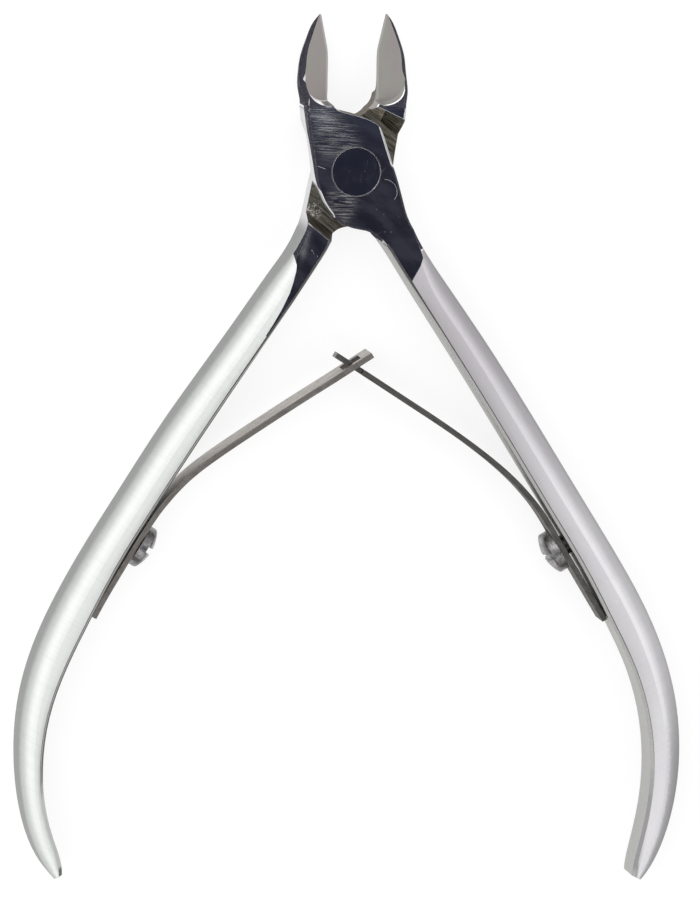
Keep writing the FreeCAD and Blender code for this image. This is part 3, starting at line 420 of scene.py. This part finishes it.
    # painted shade: the handles are painted darker as their faces fall away from the crown
    painted_slope_shade = t.ramp(anz, [(0.0, 0.38), (0.30, 0.48), (0.60, 0.80), (0.80, 1.0), (0.95, 1.0), (1.0, 1.0)] if left_handle else
                  [(0.0, 0.38), (0.30, 0.46), (0.60, 0.72), (0.82, 0.94), (0.95, 1.0), (1.0, 1.0)])
    hand = t.mixc(1.0, hand, painted_slope_shade, "MULTIPLY")
    # painted highlight and shade: the handles are painted brightest a little outside the crown and darker towards their
    # inner side
    lean = t.math("MULTIPLY_ADD", inward, 0.5, 0.5)
    if left_handle:
        painted_lean_light = t.ramp(lean, [(0.30, 1.0), (0.50, 1.0), (0.58, 0.96), (0.68, 0.91), (0.75, 0.86)])
    else:
        painted_lean_light = t.ramp(lean, [(0.20, 0.97), (0.36, 0.97), (0.425, 1.10), (0.465, 1.08), (0.51, 0.92), (0.58, 0.80), (0.68, 0.72), (0.75, 0.66)])
    hand = t.mixc(1.0, hand, painted_lean_light, "MULTIPLY")
    if not left_handle:
        # painted shade and highlight: towards its end the right handle is painted greyer outside and lighter inside
        shade = t.ramp(lean, [(0.20, 0.60), (0.36, 0.66), (0.43, 0.80), (0.48, 0.96), (0.54, 1.10), (0.62, 1.12), (0.70, 1.0)])
        hand = t.mixc(t.above(t.mul(y, -1.0), 66.0, 18.0), hand, t.mixc(1.0, hand, shade, "MULTIPLY"))
    # painted reflection and highlight: the narrow chamfer is painted as a thin dark line, with a painted light line
    # beside it
    if left_handle:
        painted_highlight_line = t.both(chamfer, t.above(z, 6.58, 0.05), t.below(z, 6.73, 0.05))
        hand = t.mixc(chamfer, hand, t.mixc(grain, (0.13, 0.135, 0.13), (0.22, 0.225, 0.22)))
    else:
        painted_highlight_line = t.both(chamfer, t.below(z, 6.76, 0.05))
        hand = t.mixc(chamfer, hand, t.mixc(grain, (0.12, 0.115, 0.115), (0.26, 0.25, 0.25)))
    hand = t.mixc(painted_highlight_line, hand, t.mixc(grain, (0.34, 0.335, 0.325), (0.56, 0.555, 0.54)))
    # painted shade: the handles' inner walls, beside the leaves, are painted darker
    hand = t.mixc(wall, hand, t.mixc(grain, (0.20, 0.20, 0.195), (0.36, 0.355, 0.35)) if left_handle else t.mixc(grain, (0.34, 0.34, 0.33), (0.62, 0.62, 0.60)))
    # stripes along the shoulders
    stripe = t.noise(t.turned(p, -40.0, (0.35, 5.0, 5.0)), 1.0, 4.0, 0.65)
    band = t.ramp(stripe, [(0.34, (0.030, 0.026, 0.018)), (0.46, (0.085, 0.074, 0.054)), (0.54, (0.19, 0.168, 0.135)), (0.66, (0.42, 0.39, 0.34))])
    speck = t.both(t.above(t.noise(t.scaled(p, 4.2), 1.0, 2.0, 0.5, 1.5), 0.59, 0.08), spot(-4.7, -4.9, 1.0))
    floor_c = t.mixc(t.above(stripe, 0.50, 0.22), (0.050, 0.046, 0.036), (0.20, 0.185, 0.155))
    floor_c = t.mixc(t.mul(grain, 0.4), floor_c, (0.11, 0.105, 0.088))
    floor_c = t.mixc(t.mul(speck, 0.9), floor_c, (0.90, 0.89, 0.86))
    col = t.mixc(level, side_c, deep)
    # painted shade: the throat's walls between the jaws are painted dark, with stripes
    col = t.mixc(throat, col, t.mixc(t.above(stripe, 0.5, 0.2), (0.10, 0.088, 0.075), (0.26, 0.235, 0.21)))
    col = t.mixc(facet, col, t.mixc(painted_crescent, facet_c, (0.98, 0.98, 0.98)))
    col = t.mixc(scoop, col, t.mixc(lit, facet_c, (0.97, 0.97, 0.97)))
    col = t.mixc(shoulder, col, band)
    col = t.mixc(pit, col, floor_c)
    col = t.mixc(satin, col, hand)
    t.plug(b.inputs["Base Color"], col)
    t.plug(b.inputs["Roughness"], rough)

    # relief
    quiet = t.both(level_f, t.below(y, -4.0), t.below(cut, -8.75)) if left_handle else t.both(level_f, t.above(x, -2.6), t.below(y, 1.4))
    near_pin = t.both(level, t.below(rad, 3.5))
    edge = t.rounded(t.mul(t.mix(near_pin, t.mix(quiet, 0.085, 0.012), 0.035), MM))
    relief = t.add(t.mul(t.both(level, brushed), t.add(t.mul(fine, 0.6), t.mul(lines, 0.5))), t.mul(satin, t.mul(arc, 0.55)))
    relief = t.add(relief, t.mul(t.either(shoulder, pit), t.add(t.mul(stripe, 1.6), t.mul(grain, 1.2))))
    relief = t.add(relief, t.mul(facet, t.mul(t.noise(t.turned(p, 90.0, (0.5, 18.0, 1.0)), 1.0, 2.0), 0.6)))
    relief = t.math("SUBTRACT", relief, t.mul(t.both(level, marks), 1.2))
    shaped = t.bump(relief, 0.35, 0.012 * MM, edge)
    # the wall round the facet's foot is hollow ground, and the flanks are softly rounded: their shading
    # leans up, as a small hollow or a broad rounding would
    lean_x, lean_y, lean_z = t.split(t.vec(-0.43 if left_handle else 0.43, 0.10, 0.894))
    dull = t.either(flank, throat)
    tip = t.mix(throat, 0.03, 0.22)
    hollow = t.vec(t.mix(painted_highlight_line, t.mix(dull, t.mix(lit, lean_x, t.mul(nx, 0.42)), t.mul(nx, tip)), t.mul(nx, 0.45)),
                   t.mix(painted_highlight_line, t.mix(dull, t.mix(lit, lean_y, t.mul(ny, 0.42)), t.mul(ny, tip)), t.mul(ny, 0.45)),
                   t.mix(t.either(dull, painted_highlight_line), t.mix(lit, lean_z, 1.0), 1.0))
    world_n = m.node_tree.nodes.new("ShaderNodeVectorTransform")
    world_n.vector_type = "NORMAL"
    world_n.convert_from = "OBJECT"
    world_n.convert_to = "WORLD"
    m.node_tree.links.new(hollow, world_n.inputs[0])
    pick = m.node_tree.nodes.new("ShaderNodeMix")
    pick.data_type = "VECTOR"
    t.plug(pick.inputs[0], t.either(t.either(scoop, dull), painted_highlight_line))
    m.node_tree.links.new(shaped, pick.inputs[4])
    m.node_tree.links.new(world_n.outputs[0], pick.inputs[5])
    m.node_tree.links.new(pick.outputs[1], b.inputs["Normal"])
    return m


def pin_steel():
    m, t, b, p, nrm = new_material("pin_polished")
    x, y, z = t.split(p)
    rad = t.math("SQRT", t.add(t.mul(x, x), t.mul(y, y)))
    fine = t.noise(t.turned(p, 88.0, (0.6, 9.0, 1.0)), 1.0, 4.0, 0.6)
    patch = t.noise(t.scaled(p, 0.35), 1.0, 2.0, 0.5)
    rim = t.above(rad, 2.895, 0.04)
    worn_glint = t.add(0.55, t.mul(t.noise(t.scaled(p, 1.4), 1.0, 2.0), 0.7))
    streak = t.both(t.above(fine, 0.56, 0.16), t.above(patch, 0.48, 0.2))
    pits = t.both(t.below(t.cells(p, 2.6), 0.08, 0.05), t.above(patch, 0.5, 0.05))
    col = t.mixc(patch, (0.44, 0.46, 0.525), (0.54, 0.56, 0.60))
    # the head's rim is painted lighter and rougher: partly wear, partly a painted highlight along its edge
    col = t.mixc(t.mul(rim, worn_glint), col, (0.74, 0.73, 0.72))
    t.plug(b.inputs["Base Color"], col)
    t.plug(b.inputs["Roughness"], t.add(0.08, t.add(t.mul(streak, 0.08), t.add(t.mul(rim, 0.26), t.mul(pits, 0.25)))))
    t.plug(b.inputs["Normal"], t.bump(fine, 0.15, 0.010 * MM, t.rounded(0.03 * MM)))
    return m


def leaf_steel(name, light, dark, gloss):
    """Dull rolled strip: scale left by hardening on the wide faces; its narrow edge faces are painted darker, a painted
    shade, and its rounded corners catch the light.
    """
    m, t, b, p, nrm = new_material(name)
    x, y, z = t.split(p)
    nx, ny, nz = t.split(nrm)
    edge_face = t.above(t.math("ABSOLUTE", nz), 0.6, 0.3)
    roll = t.noise(t.turned(p, 33.0 if "left" in name else -33.0, (0.3, 6.0, 6.0)), 1.0, 4.0, 0.6)
    mott = t.noise(t.scaled(p, 0.9), 1.0, 4.0, 0.6)
    fine = t.noise(t.scaled(p, 6.0), 1.0, 3.0, 0.6)
    col = t.mixc(t.above(mott, 0.5, 0.3), dark, light)
    col = t.mixc(t.mul(t.above(roll, 0.54, 0.16), 0.55), col, tuple(min(1.0, c * 1.45) for c in light))
    col = t.mixc(t.mul(t.above(fine, 0.60, 0.1), 0.5), col, tuple(c * 0.45 for c in dark))
    # painted shade: the narrow edge faces are painted darker than the wide faces
    col = t.mixc(t.mul(edge_face, 0.72), col, tuple(c * 0.42 for c in dark))
    t.plug(b.inputs["Base Color"], col)
    t.plug(b.inputs["Roughness"], t.add(gloss, t.add(t.mul(mott, 0.14), t.mul(fine, 0.08))))
    h = t.add(t.mul(roll, 0.7), t.mul(fine, 0.6))
    shaped = t.bump(h, 0.55, 0.014 * MM, t.rounded(0.07 * MM))
    if "left" in name:
        t.plug(b.inputs["Normal"], shaped)
        return m
    # the right leaf is set so that its dull faces mirror only the dark opening
    world_n = m.node_tree.nodes.new("ShaderNodeVectorTransform")
    world_n.vector_type = "NORMAL"
    world_n.convert_from = "OBJECT"
    world_n.convert_to = "WORLD"
    m.node_tree.links.new(t.vec(t.mul(nx, 0.10), t.mul(ny, 0.10), 1.0), world_n.inputs[0])
    pick = m.node_tree.nodes.new("ShaderNodeMix")
    pick.data_type = "VECTOR"
    t.plug(pick.inputs[0], t.mul(t.both(t.above(nz, -0.3, 0.2), t.below(ny, 0.1)), 0.92))
    m.node_tree.links.new(shaped, pick.inputs[4])
    m.node_tree.links.new(world_n.outputs[0], pick.inputs[5])
    m.node_tree.links.new(pick.outputs[1], b.inputs["Normal"])
    return m


def screw_steel(name, centre):
    m, t, b, p, nrm = new_material(name)
    mott = t.noise(t.scaled(p, 0.8), 1.0, 3.0, 0.6)
    fine = t.noise(t.scaled(p, 5.0), 1.0, 3.0, 0.6)
    ring = t.noise(t.scaled(p, (7.0, 7.0, 1.2)), 1.0, 2.0, 0.5)
    scuff = t.both(t.above(fine, 0.58, 0.10), t.above(mott, 0.45, 0.2))
    col = t.mixc(t.above(mott, 0.5, 0.4), (0.115, 0.108, 0.112), (0.36, 0.35, 0.35))
    col = t.mixc(t.mul(scuff, 0.6), col, (0.09, 0.086, 0.084))
    # painted shade: the shank under the head is painted near black
    x, y, z = t.split(p)
    a = math.radians(centre[2])
    deep = t.add(t.add(t.mul(x, math.cos(a)), t.mul(y, math.sin(a))), -(centre[0] * math.cos(a) + centre[1] * math.sin(a)))
    col = t.mixc(t.above(deep, -0.36, 0.05), col, (0.05, 0.048, 0.045))
    t.plug(b.inputs["Base Color"], col)
    t.plug(b.inputs["Roughness"], t.add(0.20, t.add(t.mul(scuff, 0.25), t.mul(mott, 0.10))))
    t.plug(b.inputs["Normal"], t.bump(t.add(t.mul(mott, 2.0), t.add(fine, ring)), 0.45, 0.03 * MM, t.rounded(0.12 * MM)))
    return m


finish = {
    "front_lever": lever_steel("front_lever_steel", False),
    "back_lever": lever_steel("back_lever_steel", True),
    "pivot_pin": pin_steel(),
    "left_spring_screw": screw_steel("left_screw_nickel", (-25.9, -44.9, 148.4)),
    "right_spring_screw": screw_steel("right_screw_nickel", (26.15, -46.1, 31.4)),
}
for n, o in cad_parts.items():
    if n in finish:
        o.data.materials.clear()
        o.data.materials.append(finish[n])


# ------------------------------------------------------------------ leaf springs
# Each leaf is rebuilt along the same middle line, with its slot or tongue, its screw hole and softly
# broken edges.
LEAF_L = [(2.5, -22.27), (0.45, -23.58), (-1.64, -24.93), (-5.52, -27.34), (-9.25, -29.72), (-12.95, -32.12), (-16.62, -34.6), (-19.72, -37.0),
          (-22.0, -39.35), (-23.45, -41.15), (-24.6, -42.85), (-25.9, -44.9), (-27.3, -47.2), (-28.8, -49.72), (-30.14, -52.05), (-31.08, -53.8)]
LEAF_R = [(-1.75, -22.42), (0.4, -23.79), (2.68, -25.25), (6.42, -27.70), (10.23, -30.19), (13.76, -32.62), (17.03, -35.09), (19.93, -37.62),
          (22.1, -39.95), (23.55, -41.85), (24.8, -43.85), (26.15, -46.1), (27.5, -48.35), (29.45, -51.6), (31.38, -54.8)]


def cubic(pts):
    """Natural cubic spline through the points, by chord length: returns place and direction at s."""
    n = len(pts)
    u = [0.0]
    for a, b_ in zip(pts, pts[1:]):
        u.append(u[-1] + math.dist(a, b_))
    second = []
    for k in range(2):
        v = [q[k] for q in pts]
        lo, di, up_, rhs = [0.0] * n, [1.0] * n, [0.0] * n, [0.0] * n
        for i in range(1, n - 1):
            h0, h1 = u[i] - u[i - 1], u[i + 1] - u[i]
            lo[i], di[i], up_[i] = h0, 2 * (h0 + h1), h1
            rhs[i] = 6 * ((v[i + 1] - v[i]) / h1 - (v[i] - v[i - 1]) / h0)
        for i in range(1, n):
            f = lo[i] / di[i - 1]
            di[i] -= f * up_[i - 1]
            rhs[i] -= f * rhs[i - 1]
        mm = [0.0] * n
        mm[-1] = rhs[-1] / di[-1]
        for i in range(n - 2, -1, -1):
            mm[i] = (rhs[i] - up_[i] * mm[i + 1]) / di[i]
        second.append(mm)

    def at(s):
        i = 0
        while i < n - 2 and s > u[i + 1]:
            i += 1
        hh = u[i + 1] - u[i]
        a, b_ = (u[i + 1] - s) / hh, (s - u[i]) / hh
        place, direction = [], []
        for k in range(2):
            v, mm = [q[k] for q in pts], second[k]
            place.append(a * v[i] + b_ * v[i + 1] + ((a ** 3 - a) * mm[i] + (b_ ** 3 - b_) * mm[i + 1]) * hh * hh / 6)
            direction.append((v[i + 1] - v[i]) / hh + ((1 - 3 * a * a) * mm[i] + (3 * b_ * b_ - 1) * mm[i + 1]) * hh / 6)
        return Vector(place), Vector(direction).normalized()

    return at, u[-1]


def leaf(name, pts, screw_at, keep, stations, rows, material):
    """A strip on edge: cells of a grid along the middle line, kept where keep(s, h) says so."""
    at, length = cubic(pts)
    hole_s = min((k / 400 * length for k in range(401)), key=lambda s: (at(s)[0] - Vector(screw_at)).length)
    fixed = sorted(set([0.0, length, hole_s - 1.7, hole_s - 0.85, hole_s, hole_s + 0.85, hole_s + 1.7] + stations))
    ss = []
    for a, b_ in zip(fixed, fixed[1:]):
        k = max(1, round((b_ - a) / 0.55))
        ss += [a + (b_ - a) * i / k for i in range(k)]
    ss.append(length)
    th = 0.68 / 2
    bm = bmesh.new()

    def point(s, h, side):
        c, d = at(s)
        nrm = Vector((-d.y, d.x))
        q = c + nrm * side * th
        return Vector((q.x, q.y, 3.5 + h)) * MM

    grid = {}

    def vert(i, j, side):
        key = (i, j, side)
        if key not in grid:
            grid[key] = bm.verts.new(point(ss[i], rows[j], side))
        return grid[key]

    def kept(i, j):
        if not (0 <= i < len(ss) - 1 and 0 <= j < len(rows) - 1):
            return False
        s, h = (ss[i] + ss[i + 1]) / 2, (rows[j] + rows[j + 1]) / 2
        return keep(s, h) and not (abs(s - hole_s) < 1.7 and abs(h) < 1.7)

    for i in range(len(ss) - 1):
        for j in range(len(rows) - 1):
            if not kept(i, j):
                continue
            for side in (1, -1):
                q = [vert(i, j, side), vert(i + 1, j, side), vert(i + 1, j + 1, side), vert(i, j + 1, side)]
                bm.faces.new(q if side < 0 else q[::-1])
            mid_s, mid_h = (ss[i] + ss[i + 1]) / 2, (rows[j] + rows[j + 1]) / 2
            for (di, dj), (a, b_) in {(-1, 0): ((i, j + 1), (i, j)), (1, 0): ((i + 1, j), (i + 1, j + 1)),
                                      (0, -1): ((i, j), (i + 1, j)), (0, 1): ((i + 1, j + 1), (i, j + 1))}.items():
                if kept(i + di, j + dj):
                    continue
                s2, h2 = mid_s + di * 0.6, mid_h + dj * 0.3
                if abs(s2 - hole_s) < 1.7 and abs(h2) < 1.7 and abs(mid_s - hole_s) < 2.6:
                    continue  # the edge of the hole's square, closed by the ring below
                bm.faces.new([vert(*a, 1), vert(*b_, 1), vert(*b_, -1), vert(*a, -1)])
    # ring of faces from the square to the round screw hole
    square = []
    cols = [i for i, s in enumerate(ss) if abs(s - hole_s) < 1.7 + 1e-6]
    levels = [j for j, hh in enumerate(rows) if abs(hh) < 1.7 + 1e-6]
    for i in cols[:-1]:
        square.append((i, levels[0]))
    for j in levels[:-1]:
        square.append((cols[-1], j))
    for i in reversed(cols[1:]):
        square.append((i, levels[-1]))
    for j in reversed(levels[1:]):
        square.append((cols[0], j))
    loops = {}
    for side in (1, -1):
        ring = []
        for i, j in square:
            a = math.atan2(rows[j], ss[i] - hole_s)
            ring.append(bm.verts.new(point(hole_s + 1.35 * math.cos(a), 1.35 * math.sin(a), side)))
        loops[side] = ring
        for k in range(len(square)):
            k2 = (k + 1) % len(square)
            q = [vert(*square[k], side), vert(*square[k2], side), ring[k2], ring[k]]
            bm.faces.new(q[::-1] if side < 0 else q)
    for k in range(len(square)):
        k2 = (k + 1) % len(square)
        bm.faces.new([loops[1][k], loops[1][k2], loops[-1][k2], loops[-1][k]])
    bmesh.ops.recalc_face_normals(bm, faces=bm.faces)
    for f in bm.faces:
        f.smooth = True
    me = bpy.data.meshes.new(name)
    bm.to_mesh(me)
    bm.free()
    me.set_sharp_from_angle(angle=math.radians(35))
    o = bpy.data.objects.new(name, me)
    scene.collection.objects.link(o)
    bev = o.modifiers.new("edges", "BEVEL")
    bev.width = 0.055 * MM
    bev.segments = 2
    bev.limit_method = "ANGLE"
    bev.angle_limit = math.radians(40)
    bev.harden_normals = False
    me.materials.append(material)
    return o


rows = [-2.3, -1.7, -1.35, -1.05, -0.5, 0.0, 0.5, 1.05, 1.35, 1.7, 2.3]
at_l, len_l = cubic(LEAF_L)
at_r, len_r = cubic(LEAF_R)
cross = Vector((0.30, -23.70))
s_cross = min((k / 1000 * 10 for k in range(1001)), key=lambda s: (at_l(s)[0] - cross).length)
s_tongue = min((k / 1000 * 10 for k in range(1001)), key=lambda s: (at_r(s)[0] - Vector((1.35, -24.40))).length)
left = leaf("left_leaf", LEAF_L, (-25.9, -44.9),
            lambda s, hh: not (abs(s - s_cross) < 1.3 and abs(hh) < 1.35), [s_cross - 1.3, s_cross + 1.3], rows,
            leaf_steel("left_leaf_steel", (0.46, 0.43, 0.40), (0.32, 0.295, 0.275), 0.32))
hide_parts("left_leaf_spring")
# painted shade: the right leaf is painted darker than the left, though both are the same spring steel
right_leaf = leaf("right_leaf", LEAF_R, (26.15, -46.1),
                  lambda s, hh: not (s < s_tongue and abs(hh) > 1.05), [s_tongue], rows,
                  leaf_steel("right_leaf_steel", (0.25, 0.245, 0.235), (0.17, 0.165, 0.16), 0.33))
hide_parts("right_leaf_spring")
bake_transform(left)
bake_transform(right_leaf)
